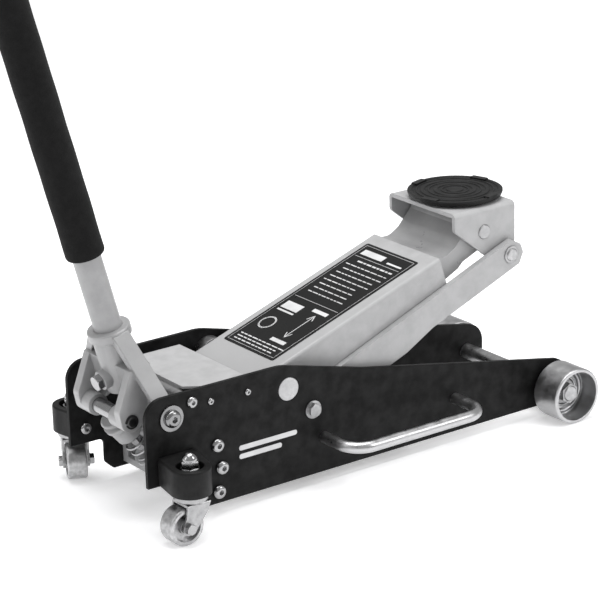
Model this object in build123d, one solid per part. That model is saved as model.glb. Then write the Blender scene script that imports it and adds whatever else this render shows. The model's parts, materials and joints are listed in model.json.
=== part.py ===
"""Low-profile hydraulic floor jack, modelled piece by piece.

Frame: +X towards the saddle and front rollers, +Y to the left-hand plate, +Z up.
The origin lies on the floor under the lift arm's main shaft, on the centre plane.
Units are millimetres.
"""
from build123d import *
from math import atan2, cos, degrees, radians, sin, sqrt
import os

os.makedirs("parts", exist_ok=True)

# ---------------------------------------------------------------- clearances
RUN_FIT = 0.06          # radial play of a pin or shaft in a bore that turns on it
SIDE_PLAY = 0.3         # gap between faces that move past each other
BOLT_PLAY = 0.1         # radial play of a bolt in its hole in a fixed joint
FAR = 400.0             # reach of a cut that has to pass everything on its line

# ------------------------------------------------------------ side plates
CHASSIS_WIDTH = 172.0
PLATE_THICKNESS = 5.0
PLATE_REAR_X = -197.0
PLATE_FRONT_X = 428.0
PLATE_TOP_Z = 160.0
PLATE_BOTTOM_Z = 14.0
PLATE_SHOULDER_X = -10.0
PLATE_KNEE = (110.0, 128.9)
PLATE_NOSE_Z = 66.0
PLATE_ARCH_Z = 56.0
PLATE_ARCH_X = -150.5

# ------------------------------------------------------------ main shaft
MAIN_SHAFT_Z = 128.9
MAIN_SHAFT_RADIUS = 14.5
SPACER_RADIUS = 20.0

# ------------------------------------------------------------ lift arm
ARM_HALF_WIDTH = 66.0
ARM_SHEET = 5.0
ARM_LENGTH = 334.7       # main shaft to cradle pin
ARM_REST_ANGLE = 21.23   # above level
ARM_TOP_RISE = 20.0      # top skin above the pivot line at the main shaft
ARM_TOP_TAPER = 0.0459
ARM_TAIL = 40.0
ARM_BOX_END = 262.0
ARM_DEPTH = 44.0
NECK_HALF_WIDTH = 56.0
NECK_RADIUS = 21.0
HUB_RADIUS = 19.5
CRANK_RADIUS = 40.0
CRANK_PIN_RADIUS = 7.0
CRANK_LAG = 25.15        # arm angle at which the crank points straight down
EAR_RADIUS = 13.0
EAR_INNER_Y = 16.0
EAR_THICKNESS = 10.0
LABEL_START = 12.6
LABEL_LENGTH = 230.5
LABEL_WIDTH = 101.0
LABEL_OFFSET_Y = 2.5
LABEL_THICKNESS = 0.6

# ------------------------------------------------------------ cradle and links
LINK_OFFSET = (33.7, -33.3)
CRADLE_HALF_WIDTH = 64.0
CRADLE_SHEET = 5.0
CRADLE_TOP = 30.0
CRADLE_PIN_RADIUS = 9.0
LINK_THICKNESS = 8.0
LINK_HALF_HEIGHT = 17.5
LINK_BELLY = 24.0
LINK_PIN_RADIUS = 8.0
LINK_FREE_PLAY = 0.35

# ------------------------------------------------------------ saddle
SADDLE_RADIUS = 58.6
SADDLE_OFFSET_X = 6.6
SADDLE_THICKNESS = 9.0
SADDLE_LIFT = 10.05
SADDLE_STEM_RADIUS = 12.0
LUG_HALF_WIDTH = 11.0    # grip lugs on the rim of the pad
LUG_TURN = 17.0

# ------------------------------------------------------------ front rollers
FRONT_AXLE_X = 401.35
ROLLER_RADIUS = 35.4
ROLLER_WIDTH = 41.6
ROLLER_RIM = 4.5
ROLLER_RECESS = 27.0
ROLLER_HUB_RADIUS = 15.0
FRONT_AXLE_RADIUS = 10.0
ROLLER_GAP = 7.6

# ------------------------------------------------------------ casters
CASTER_X = -166.0
CASTER_REACH = 40.0      # caster stem beyond the side plate
CASTER_WHEEL_RADIUS = 22.5
CASTER_WHEEL_WIDTH = 24.0
CASTER_TRAIL = 14.0
CASTER_SHEET = 3.0
CASTER_LEG_HEIGHT = 25.0
CASTER_STEM_RADIUS = 6.0
BRACKET_BOTTOM_Z = 58.0
BRACKET_HEIGHT = 32.0
BRACKET_RADIUS = 24.0
BRACKET_BASE_X = -158.0
BRACKET_BASE_WIDTH = 50.0
CASTER_AXLE_RADIUS = 4.0
CASTER_SWIVEL = {"left": 64.0, "right": 0.0}

# ------------------------------------------------------------ carry handles
CARRY_X = (49.3, 246.3)
CARRY_Z = 57.0
CARRY_REACH = 59.0
CARRY_RADIUS = 6.9
CARRY_BEND = 27.0

# ------------------------------------------------------------ handle and socket
SOCKET_X = -162.55
SOCKET_Z = 133.65
HANDLE_ANGLE = 75.1      # above level, leaning to the rear
HANDLE_RADIUS = 16.5
HANDLE_WALL = 2.0
HANDLE_LOWER_END = 665.0
HANDLE_LENGTH = 1003.8
TELESCOPE_PLAY = 0.1    # radial play of the upper tube in the lower tube
FOAM_START = 189.0
FOAM_END = 620.0
FOAM_RADIUS = 23.0
GRIP_LENGTH = 135.0
GRIP_WALL = 3.0
BARREL_RADIUS = 22.0
BARREL_START = 18.0
COLLAR_RADIUS = 25.5
COLLAR_END = 95.0
COLLAR_HEIGHT = 12.0
SOCKET_HALF_WIDTH = 79.0
SOCKET_LEG_DEPTH = 10.5
SOCKET_BOSS_RADIUS = 17.0
SOCKET_PIN_RADIUS = 9.0
CHEEK_INNER_Y = 20.8
CHEEK_WIDTH = 29.0
CHEEK_THICKNESS = 12.0
CLAMP_BOSS_LENGTH = 7.0
PUMP_ARM = 31.0
PUMP_ROLLER_RADIUS = 9.5
PUMP_ROLLER_PIN = 6.0
CHEEK_RADIUS = 13.0
FORK_INNER = 9.0
FORK_OUTER = 12.0
SPINDLE_RADIUS = 4.5
SPINDLE_BALL = 7.5
SPINDLE_ANGLE = -25.0
SPINDLE_LENGTH = 56.0

# ------------------------------------------------------------ pump and ram
PUMP_ANGLE = -50.0
PUMP_OFFSET = 29.5
PUMP_STROKE = 26.2
PUMP_TRAVEL_START = 13.1
PLUNGER_RADIUS = 7.0
CAP_RADIUS = 17.5
CAP_LENGTH = 36.0
PUMP_BORE_END = 100.0
PUMP_BARREL_START = 68.0
PUMP_BARREL_RADIUS = 15.0
PUMP_SPRING_WIRE = 2.8
PUMP_SPRING_RADIUS = 15.0
PUMP_SPRING_TURNS = 3
RAM_Z = 84.0
RAM_BARREL_RADIUS = 20.0
RAM_BORE_RADIUS = 16.0
RAM_ROD_RADIUS = 10.0
RAM_BARREL_FRONT = -52.0
RAM_GLAND = 5.0
PISTON_LENGTH = 10.0
PISTON_BACK = 93.0       # from crosshead centre to the piston's rear face
TANK_RADIUS = 31.0
TANK_FRONT = -56.0
UNIT_REAR_X = -126.0
UNIT_LENGTH = 27.0
UNIT_BOTTOM_Z = 20.0
UNIT_LUG_TOP_Z = 98.0
UNIT_TOP_Z = 130.0
UNIT_TOP_HALF_WIDTH = 34.0
COVER_Z = 153.0
COVER_SHEET = 3.0
COVER_HALF_WIDTH = 67.0
COVER_X = (-125.0, -49.0)
COVER_FLANGE = 22.0

# ------------------------------------------------------------ derived places
PLATE_OUT = CHASSIS_WIDTH / 2
PLATE_IN = PLATE_OUT - PLATE_THICKNESS
CASTER_Y = PLATE_OUT + CASTER_REACH
LINK_IN = ARM_HALF_WIDTH + 1.0
LINK_OUT = LINK_IN + LINK_THICKNESS
CRADLE_X = ARM_LENGTH * cos(radians(ARM_REST_ANGLE))
CRADLE_Z = MAIN_SHAFT_Z + ARM_LENGTH * sin(radians(ARM_REST_ANGLE))
LINK_REAR = (LINK_OFFSET[0], MAIN_SHAFT_Z + LINK_OFFSET[1])
LINK_FRONT = (CRADLE_X + LINK_OFFSET[0], CRADLE_Z + LINK_OFFSET[1])
CRANK_ANGLE = -90.0 + ARM_REST_ANGLE - CRANK_LAG
CRANK_X = CRANK_RADIUS * cos(radians(CRANK_ANGLE))
CRANK_Z = MAIN_SHAFT_Z + CRANK_RADIUS * sin(radians(CRANK_ANGLE))
FRONT_AXLE_Z = ROLLER_RADIUS
ROLLER_IN = PLATE_OUT + ROLLER_GAP
ROLLER_OUT = ROLLER_IN + ROLLER_WIDTH
SADDLE_X = CRADLE_X + SADDLE_OFFSET_X
UPPER_RADIUS = HANDLE_RADIUS - HANDLE_WALL - TELESCOPE_PLAY
SADDLE_TOP = CRADLE_Z + CRADLE_TOP + SADDLE_LIFT
CASTER_AXLE_Z = CASTER_WHEEL_RADIUS
PUMP_DIR = Vector(cos(radians(PUMP_ANGLE)), 0, sin(radians(PUMP_ANGLE)))
PUMP_SIDE = Vector(-PUMP_DIR.Z, 0, PUMP_DIR.X)
PUMP_ORIGIN = Vector(SOCKET_X, 0, SOCKET_Z) - PUMP_SIDE * PUMP_OFFSET
CAP_TOP = -PUMP_TRAVEL_START + PUMP_ROLLER_RADIUS + SIDE_PLAY
SPINDLE_DIR = Vector(cos(radians(SPINDLE_ANGLE)), 0, sin(radians(SPINDLE_ANGLE)))
UNIT_FRONT_X = UNIT_REAR_X + UNIT_LENGTH
ARM_PLACE = Pos(0, 0, MAIN_SHAFT_Z) * Rot(0, -ARM_REST_ANGLE, 0)
LINK_PLACE = Pos(LINK_REAR[0], 0, LINK_REAR[1]) * Rot(0, -ARM_REST_ANGLE, 0)
SOCKET_PLACE = Pos(SOCKET_X, 0, SOCKET_Z) * Rot(0, HANDLE_ANGLE - 90, 0)


# ------------------------------------------------------------ helpers
def save(name, *shapes):
    """Write one node; several shapes become separate solids of the node."""
    solids = [solid for shape in shapes for solid in shape.solids()]
    body = solids[0] if len(solids) == 1 else Compound(solids)
    export_step(body, f"parts/{name}.step")


def mirrored(shape):
    return mirror(shape, about=Plane.XZ)


def both_sides(shape):
    return [shape, mirrored(shape)]


def outline(points, rounds=None):
    """Closed flat outline in XY with chosen corners rounded."""
    face = make_face(Polyline(*points, close=True))
    for index, radius in (rounds or {}).items():
        corner = Vector(points[index][0], points[index][1], 0)
        vertex = min(face.vertices(), key=lambda v: (Vector(*v) - corner).length)
        face = fillet(vertex, radius)
    return face


def slab(face, y0, y1):
    """Stand a flat outline up in the XZ plane between two Y positions."""
    return Pos(0, y1, 0) * Rot(90, 0, 0) * extrude(face, y1 - y0)


def box(x0, x1, y0, y1, z0, z1):
    return Pos((x0 + x1) / 2, (y0 + y1) / 2, (z0 + z1) / 2) * Box(x1 - x0, y1 - y0, z1 - z0)


def rod(start, direction, near, far, radius):
    """Round bar along a direction between two distances from a start point."""
    place = Location(Plane(origin=start, z_dir=direction))
    return place * Pos(0, 0, (near + far) / 2) * Cylinder(radius, far - near)


def rod_y(x, z, y0, y1, radius):
    return rod((x, 0, z), (0, 1, 0), y0, y1, radius)


def rod_x(y, z, x0, x1, radius):
    return rod((0, y, z), (1, 0, 0), x0, x1, radius)


def rod_z(x, y, z0, z1, radius):
    return rod((x, y, 0), (0, 0, 1), z0, z1, radius)


def hexagon(radius, height):
    """Hexagonal prism standing on XY, radius to its corners."""
    return extrude(RegularPolygon(radius, 6), height)


def button_bolt(head_radius, head_height, shank_radius, length, key):
    """Domed socket-head bolt along Z, its head standing on Z=0."""
    head = Pos(0, 0, head_height / 2) * Cylinder(head_radius, head_height)
    head = fillet(head.edges().group_by(Axis.Z)[-1], head_height * 0.8)
    head -= Pos(0, 0, head_height * 0.4) * hexagon(key, head_height)
    return head + Pos(0, 0, -length / 2) * Cylinder(shank_radius, length)


def hex_bolt(across, head_height, shank_radius, length):
    """Hexagon-head bolt along Z, its head standing on Z=0."""
    head = hexagon(across / sqrt(3), head_height)
    dome = Pos(0, 0, head_height / 2) * Cylinder(across / sqrt(3) * 0.985, head_height)
    dome = chamfer(dome.edges().group_by(Axis.Z)[-1], 1.0)
    return (head & dome) + Pos(0, 0, -length / 2) * Cylinder(shank_radius, length)


def washer(outer, inner, thickness):
    return Pos(0, 0, thickness / 2) * (Cylinder(outer, thickness) - Cylinder(inner, thickness))


def on_plate(shape, x, z, offset=0.0):
    """Set a part built along Z on the outer face of the left plate, pointing outwards."""
    return Location(Plane(origin=(x, PLATE_OUT + offset, z), z_dir=(0, 1, 0))) * shape


# ------------------------------------------------------------ chassis bolts
LUG_BOLTS = ((-102.4, 85.7), (-97.1, 57.0), (-102.2, 28.4))
COVER_SCREWS = ((-108.9, 140.8), (-51.6 - 6.0, 139.7))
REAR_TIE = (-134.6, 146.2)
LUG_BOLT_RADIUS = 5.0
COVER_SCREW_RADIUS = 2.5
TIE_BOLT_RADIUS = 4.0
CARRY_STUD_RADIUS = 5.0
BRACKET_BOLTS = ((-176.0, 74.0), (-142.0, 74.0))
BRACKET_BOLT_RADIUS = 4.0
FRONT_SPACER_RADIUS = 15.0
FRONT_BAR_SCREW_HEAD = 5.2
FRONT_BAR_HALF = (5.5, 5.0)
FRONT_BAR = (FRONT_AXLE_X + FRONT_SPACER_RADIUS + FRONT_BAR_SCREW_HEAD + SIDE_PLAY, 24.0)
FRONT_BAR_BOLT_RADIUS = 3.0
BASE_TIE_X = 165.0

# ------------------------------------------------------------ side plate
plate_points = [
    (PLATE_REAR_X, PLATE_ARCH_Z),
    (PLATE_ARCH_X, PLATE_ARCH_Z - 1.0),
    (PLATE_ARCH_X, 24.0),
    (PLATE_ARCH_X + 10.5, PLATE_BOTTOM_Z),
    (PLATE_FRONT_X, PLATE_BOTTOM_Z),
    (PLATE_FRONT_X, PLATE_NOSE_Z),
    PLATE_KNEE,
    (PLATE_SHOULDER_X, PLATE_TOP_Z),
    (PLATE_REAR_X, PLATE_TOP_Z),
]
plate_face = outline(plate_points, {1: 9.0, 2: 7.0, 3: 6.0, 4: 12.0, 5: 26.0, 6: 160.0, 7: 70.0, 8: 23.0})
plate = slab(plate_face, PLATE_IN, PLATE_OUT)
plate_holes = [(0.0, MAIN_SHAFT_Z, MAIN_SHAFT_RADIUS)]
plate_holes += [(SOCKET_X, SOCKET_Z, SOCKET_PIN_RADIUS + BOLT_PLAY)]
plate_holes += [(LINK_REAR[0], LINK_REAR[1], LINK_PIN_RADIUS + BOLT_PLAY)]
plate_holes += [(FRONT_AXLE_X, FRONT_AXLE_Z, FRONT_AXLE_RADIUS)]
plate_holes += [(x, z, LUG_BOLT_RADIUS + BOLT_PLAY) for x, z in LUG_BOLTS]
plate_holes += [(x, z, COVER_SCREW_RADIUS + BOLT_PLAY) for x, z in COVER_SCREWS]
plate_holes += [(REAR_TIE[0], REAR_TIE[1], TIE_BOLT_RADIUS + BOLT_PLAY)]
plate_holes += [(x, CARRY_Z, CARRY_STUD_RADIUS + BOLT_PLAY) for x in CARRY_X]
plate_holes += [(x, z, BRACKET_BOLT_RADIUS + BOLT_PLAY) for x, z in BRACKET_BOLTS]
plate_holes += [(FRONT_BAR[0], FRONT_BAR[1], FRONT_BAR_BOLT_RADIUS + BOLT_PLAY)]
for x, z, radius in plate_holes:
    plate -= rod_y(x, z, PLATE_IN - 1, PLATE_OUT + 1, radius)
save("left_side_plate", plate)
save("right_side_plate", mirrored(plate))

# ------------------------------------------------------------ main shaft
main_shaft = rod_y(0, MAIN_SHAFT_Z, -PLATE_OUT, PLATE_OUT, MAIN_SHAFT_RADIUS)
main_shaft = chamfer(main_shaft.edges().filter_by(GeomType.CIRCLE), 0.8)
save("main_shaft", main_shaft)
spacer_in = ARM_HALF_WIDTH + SIDE_PLAY
spacer = rod_y(0, MAIN_SHAFT_Z, spacer_in, PLATE_IN, SPACER_RADIUS)
spacer -= rod_y(0, MAIN_SHAFT_Z, 0, PLATE_OUT, MAIN_SHAFT_RADIUS)
chassis_spacers = both_sides(spacer)

# ------------------------------------------------------------ lift arm
def arm_top(u):
    return ARM_TOP_RISE - ARM_TOP_TAPER * u


arm_points = [
    (-ARM_TAIL, arm_top(-ARM_TAIL)),
    (-ARM_TAIL - 5.0, 4.0),
    (-37.0, -25.0),
    (-14.0, -ARM_DEPTH + 1.5),
    (64.0, -ARM_DEPTH),
    (ARM_BOX_END - 3.0, -28.5),
    (ARM_BOX_END, arm_top(ARM_BOX_END)),
]
arm_face = outline(arm_points, {0: 3.0, 2: 12.0, 3: 12.0, 4: 40.0})
arm = slab(arm_face, -ARM_HALF_WIDTH, ARM_HALF_WIDTH)
arm = fillet(
    [e for e in arm.edges() if abs(e.center().Z - arm_top(e.center().X)) < 0.2 and e.length > 200], 4.0
)
wall = ARM_SHEET
cavity_end = ARM_BOX_END - 9.0
cavity_points = [
    (-ARM_TAIL + 6.0, arm_top(-ARM_TAIL + 6.0) - wall),
    (cavity_end, arm_top(cavity_end) - wall),
    (cavity_end, -ARM_DEPTH - 20),
    (-ARM_TAIL + 6.0, -ARM_DEPTH - 20),
]
cavity = slab(outline(cavity_points), -ARM_HALF_WIDTH + wall, ARM_HALF_WIDTH - wall)
arm -= cavity
tail_slot_top = arm_top(-ARM_TAIL) - wall - 2.0
arm -= box(-ARM_TAIL - 20, -ARM_TAIL + 10, -34, 34, -60, tail_slot_top)
hub = rod_y(0, 0, -ARM_HALF_WIDTH + wall, ARM_HALF_WIDTH - wall, HUB_RADIUS) & cavity
shaft_bore = rod_y(0, 0, -PLATE_OUT, PLATE_OUT, MAIN_SHAFT_RADIUS + RUN_FIT)
arm -= shaft_bore
hub -= shaft_bore
crank_tilt = CRANK_ANGLE - ARM_REST_ANGLE
crank_place = Rot(0, -crank_tilt, 0)
ear_out = EAR_INNER_Y + EAR_THICKNESS
ear = rod_y(CRANK_RADIUS, 0, EAR_INNER_Y, ear_out, EAR_RADIUS)
ear += box(0, CRANK_RADIUS, EAR_INNER_Y, ear_out, -EAR_RADIUS, EAR_RADIUS)
ear = crank_place * ear - rod_y(0, 0, 0, PLATE_OUT, HUB_RADIUS)
crank_pin_place = crank_place * Pos(CRANK_RADIUS, 0, 0)
crank_pin = crank_pin_place * rod_y(0, 0, -ear_out, ear_out, CRANK_PIN_RADIUS)
ear -= crank_pin
label_slope = degrees(atan2(ARM_TOP_TAPER, 1))
label = Box(LABEL_LENGTH, LABEL_WIDTH, LABEL_THICKNESS)
label = fillet(label.edges().filter_by(Axis.Z), 3.0)
label_mid = LABEL_START + LABEL_LENGTH / 2
label = Pos(label_mid, LABEL_OFFSET_Y, arm_top(label_mid)) * Rot(0, label_slope, 0) \
    * Pos(0, 0, LABEL_THICKNESS / 2) * label

neck_points = [
    (ARM_BOX_END, arm_top(ARM_BOX_END) - 3.0),
    (ARM_BOX_END + 14, -1.0),
    (ARM_LENGTH - 42, 1.0),
    (ARM_LENGTH - 16, 13.5),
    (ARM_LENGTH, NECK_RADIUS - 2.0),
    (ARM_LENGTH, -NECK_RADIUS),
    (ARM_LENGTH - 38, -NECK_RADIUS - 1.0),
    (ARM_LENGTH - 48, -26.0),
    (ARM_BOX_END, -28.0),
]
neck = slab(outline(neck_points, {1: 14.0, 2: 24.0, 3: 14.0, 7: 8.0}), -NECK_HALF_WIDTH, NECK_HALF_WIDTH)
neck += rod_y(ARM_LENGTH, 0, -NECK_HALF_WIDTH, NECK_HALF_WIDTH, NECK_RADIUS)
neck -= slab(
    outline([
        (ARM_BOX_END + 5, -8.0),
        (ARM_LENGTH - 30, -9.0),
        (ARM_LENGTH - 30, -60.0),
        (ARM_BOX_END + 5, -60.0),
    ]),
    -NECK_HALF_WIDTH + 12,
    NECK_HALF_WIDTH - 12,
)
neck -= rod_y(ARM_LENGTH, 0, -PLATE_OUT, PLATE_OUT, CRADLE_PIN_RADIUS + RUN_FIT)
save("lift_arm", ARM_PLACE * arm)
save("arm_neck", ARM_PLACE * neck)
save("arm_hub", ARM_PLACE * (hub + ear + mirrored(ear)))
save("crank_pin", ARM_PLACE * crank_pin)
save("label_plate", ARM_PLACE * label)

# ------------------------------------------------------------ cradle
CRADLE_REAR = 46.0
CRADLE_FRONT = 48.0
side_points = [
    (-CRADLE_REAR, CRADLE_TOP),
    (-CRADLE_REAR, 8.0),
    (LINK_OFFSET[0] - 14.0, LINK_OFFSET[1] - 12.0),
    (LINK_OFFSET[0] + 13.0, LINK_OFFSET[1] - 15.0),
    (CRADLE_FRONT, -18.0),
    (CRADLE_FRONT, CRADLE_TOP),
]
side_face = outline(side_points, {1: 8.0, 2: 8.0, 3: 10.0, 4: 10.0})
cradle_in = CRADLE_HALF_WIDTH - CRADLE_SHEET
cradle = slab(side_face, -CRADLE_HALF_WIDTH, CRADLE_HALF_WIDTH)
cradle = fillet(
    [e for e in cradle.edges() if abs(e.center().Z - CRADLE_TOP) < 0.1 and abs(e.center().Y) > 60], 6.0
)
cradle -= box(-80, 80, -cradle_in, cradle_in, -90, CRADLE_TOP - CRADLE_SHEET)
web_bottom = -12.0
web = box(CRADLE_FRONT - 5, CRADLE_FRONT, -cradle_in, cradle_in, web_bottom, CRADLE_TOP - CRADLE_SHEET)
cradle += web
cradle = Pos(CRADLE_X, 0, CRADLE_Z) * cradle
cradle -= rod_y(CRADLE_X, CRADLE_Z, -FAR, FAR, CRADLE_PIN_RADIUS)
cradle -= rod_y(LINK_FRONT[0], LINK_FRONT[1], -FAR, FAR, LINK_PIN_RADIUS)
cradle -= rod_z(SADDLE_X, 0, CRADLE_Z, SADDLE_TOP, SADDLE_STEM_RADIUS + RUN_FIT)
save("cradle", cradle)
pin_end = CRADLE_HALF_WIDTH + 1.6
cradle_pin = rod_y(CRADLE_X, CRADLE_Z, -pin_end, pin_end, CRADLE_PIN_RADIUS)
save("cradle_pin", chamfer(cradle_pin.edges().filter_by(GeomType.CIRCLE), 1.0))
clip_start = LINK_OUT + SIDE_PLAY
link_pin_end = clip_start + 2.6
link_pin = rod_y(*LINK_FRONT, cradle_in - 1.0, link_pin_end, LINK_PIN_RADIUS)
link_pin = chamfer(link_pin.edges().group_by(Axis.Y)[-1], 1.0)
save("link_pins", *both_sides(link_pin))
clip = rod_y(*LINK_FRONT, clip_start, clip_start + 1.2, LINK_PIN_RADIUS + 3.0)
clip -= rod_y(*LINK_FRONT, 0, FAR, LINK_PIN_RADIUS)
pin_washer = rod_y(*LINK_FRONT, CRADLE_HALF_WIDTH, LINK_IN - SIDE_PLAY, LINK_PIN_RADIUS + 5.0)
pin_washer -= rod_y(*LINK_FRONT, 0, FAR, LINK_PIN_RADIUS)
save("link_pin_washers", *both_sides(clip), *both_sides(pin_washer))

# ------------------------------------------------------------ links
BELLY_U = ARM_LENGTH * 0.42
link_points = [
    (0, LINK_HALF_HEIGHT),
    (0, -LINK_HALF_HEIGHT),
    (BELLY_U - 40, -LINK_BELLY),
    (BELLY_U + 10, -LINK_BELLY),
    (BELLY_U + 55, -LINK_HALF_HEIGHT),
    (ARM_LENGTH + 7.0, -LINK_HALF_HEIGHT),
    (ARM_LENGTH + 17.5, -7.0),
    (ARM_LENGTH + 17.5, 5.0),
    (ARM_LENGTH + 7.0, LINK_HALF_HEIGHT),
]
link_face = outline(link_points, {2: 30.0, 3: 20.0, 4: 20.0, 5: 4.0, 6: 5.0, 7: 5.0, 8: 4.0})
link = slab(link_face, LINK_IN, LINK_OUT)
link += rod_y(0, 0, LINK_IN, LINK_OUT, LINK_HALF_HEIGHT)
link -= rod_y(0, 0, 0, FAR, LINK_PIN_RADIUS + RUN_FIT)
link_head_radius = LINK_PIN_RADIUS + 3.5
link -= rod_y(0, 0, 0, LINK_IN + 2.6, link_head_radius + 0.5)
link -= rod_y(ARM_LENGTH, 0, 0, FAR, LINK_PIN_RADIUS + LINK_FREE_PLAY)
link = LINK_PLACE * link
save("left_link", link)
save("right_link", mirrored(link))
link_bolt = rod_y(*LINK_REAR, LINK_IN + 0.3, LINK_IN + 2.3, link_head_radius)
link_bolt += rod_y(*LINK_REAR, LINK_IN + 2.0, PLATE_OUT, LINK_PIN_RADIUS)
link_bolt += on_plate(washer(11.0, 0.5, 1.6) + hex_bolt(15.0, 6.5, 4.0, 1.0), *LINK_REAR)
save("link_pivot_bolts", *both_sides(link_bolt))
link_washer = rod_y(*LINK_REAR, LINK_OUT + SIDE_PLAY, PLATE_IN, LINK_PIN_RADIUS + 6.0)
link_washer -= rod_y(*LINK_REAR, 0, FAR, LINK_PIN_RADIUS)
chassis_spacers += both_sides(link_washer)

# ------------------------------------------------------------ saddle
saddle_base = CRADLE_Z + CRADLE_TOP + SIDE_PLAY
saddle_low = SADDLE_TOP - SADDLE_THICKNESS
casting_profile = make_face(Polyline(
    (0, saddle_base),
    (24, saddle_base),
    (26, saddle_low),
    (SADDLE_RADIUS - 10, saddle_low),
    (SADDLE_RADIUS - 4, saddle_low + 5.2),
    (0, saddle_low + 5.2),
    close=True,
))
saddle = Pos(SADDLE_X, 0, 0) * revolve(Plane.XZ * casting_profile, Axis.Z)
stem_bottom = CRADLE_Z + CRADLE_TOP - CRADLE_SHEET - 2.6
saddle += rod_z(SADDLE_X, 0, stem_bottom, saddle_base + 1, SADDLE_STEM_RADIUS)
pad_low = saddle_low + 5.2
pad_top = SADDLE_TOP - 1.4
pad_profile = make_face(Polyline(
    (0, pad_low),
    (SADDLE_RADIUS - 4, pad_low),
    (SADDLE_RADIUS - 4, saddle_low + 2.0),
    (SADDLE_RADIUS - 1.5, saddle_low + 2.0),
    (SADDLE_RADIUS, pad_low + 0.6),
    (SADDLE_RADIUS, pad_top),
    (SADDLE_RADIUS - 5, pad_top),
    (SADDLE_RADIUS - 6, pad_top - 1.0),
    (43, pad_top - 1.0),
    (42, pad_top),
    (38, pad_top),
    (37, pad_top - 1.0),
    (27, pad_top - 1.0),
    (26, pad_top),
    (22, pad_top),
    (21, pad_top - 1.0),
    (11, pad_top - 1.0),
    (10, pad_top),
    (0, pad_top),
    close=True,
))
pad_ring = revolve(Plane.XZ * pad_profile, Axis.Z)
for quarter in range(4):
    lug = Box(8.6, 2 * LUG_HALF_WIDTH, SADDLE_TOP - pad_top + 1.0)
    lug = Pos(SADDLE_RADIUS - 4.7, 0, (SADDLE_TOP + pad_top - 1.0) / 2) * lug
    pad_ring += Rot(0, 0, LUG_TURN + 90 * quarter) * lug
pad_ring &= Cylinder(SADDLE_RADIUS, 4 * FAR)
save("saddle_pad", Pos(SADDLE_X, 0, 0) * pad_ring)
stem_clip = rod_z(SADDLE_X, 0, stem_bottom + 0.4, stem_bottom + 2.2, SADDLE_STEM_RADIUS + 3)
stem_clip -= rod_z(SADDLE_X, 0, 0, 400, SADDLE_STEM_RADIUS)
save("saddle_casting", saddle, stem_clip)

# ------------------------------------------------------------ front axle and rollers
nut_seat = ROLLER_OUT - ROLLER_RECESS + 4.0
front_axle = rod_y(FRONT_AXLE_X, FRONT_AXLE_Z, -nut_seat - 11, nut_seat + 11, FRONT_AXLE_RADIUS)
save("front_axle", chamfer(front_axle.edges().filter_by(GeomType.CIRCLE), 1.2))
inner_washer = rod_y(FRONT_AXLE_X, FRONT_AXLE_Z, PLATE_OUT, ROLLER_IN - SIDE_PLAY, FRONT_SPACER_RADIUS)
inner_washer -= rod_y(FRONT_AXLE_X, FRONT_AXLE_Z, 0, FAR, FRONT_AXLE_RADIUS)
chassis_spacers += both_sides(inner_washer)
roller = rod_y(FRONT_AXLE_X, FRONT_AXLE_Z, ROLLER_IN, ROLLER_OUT, ROLLER_RADIUS)
roller = fillet(roller.edges().filter_by(GeomType.CIRCLE), 2.0)
recess_floor = ROLLER_OUT - ROLLER_RECESS
roller -= rod_y(FRONT_AXLE_X, FRONT_AXLE_Z, recess_floor, ROLLER_OUT + 1, ROLLER_RADIUS - ROLLER_RIM)
roller += rod_y(FRONT_AXLE_X, FRONT_AXLE_Z, recess_floor - 1, nut_seat - SIDE_PLAY, ROLLER_HUB_RADIUS)
roller -= rod_y(FRONT_AXLE_X, FRONT_AXLE_Z, 0, FAR, FRONT_AXLE_RADIUS + RUN_FIT)
save("left_front_roller", roller)
save("right_front_roller", mirrored(roller))
axle_washer = rod_y(FRONT_AXLE_X, FRONT_AXLE_Z, nut_seat, nut_seat + 2.0, 14.0)
axle_washer -= rod_y(FRONT_AXLE_X, FRONT_AXLE_Z, 0, FAR, FRONT_AXLE_RADIUS)
axle_nut_place = Location(Plane(origin=(FRONT_AXLE_X, nut_seat + 2.0, FRONT_AXLE_Z), z_dir=(0, 1, 0)))
axle_nut = axle_nut_place * (hexagon(13.2, 7.5) - Cylinder(FRONT_AXLE_RADIUS, 40))
save("front_axle_nuts", *both_sides(axle_washer), *both_sides(axle_nut))
bar_x, bar_z = FRONT_BAR
front_bar = Pos(bar_x, 0, bar_z) * Box(FRONT_BAR_HALF[0] * 2, PLATE_IN * 2, FRONT_BAR_HALF[1] * 2)
front_bar = fillet(front_bar.edges().filter_by(Axis.Y), 2.0)
front_bar -= rod_y(*FRONT_BAR, -PLATE_IN - 1, -PLATE_IN + 14, FRONT_BAR_BOLT_RADIUS)
front_bar -= rod_y(*FRONT_BAR, PLATE_IN - 14, PLATE_IN + 1, FRONT_BAR_BOLT_RADIUS)
bar_screw = button_bolt(FRONT_BAR_SCREW_HEAD, 3.0, FRONT_BAR_BOLT_RADIUS, PLATE_THICKNESS + 14, 2.2)
bar_screw = on_plate(bar_screw, *FRONT_BAR)
small_screws = both_sides(bar_screw)
base_tie = box(BASE_TIE_X - 22, BASE_TIE_X + 22, -PLATE_IN, PLATE_IN, PLATE_BOTTOM_Z + 1, PLATE_BOTTOM_Z + 6)

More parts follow.
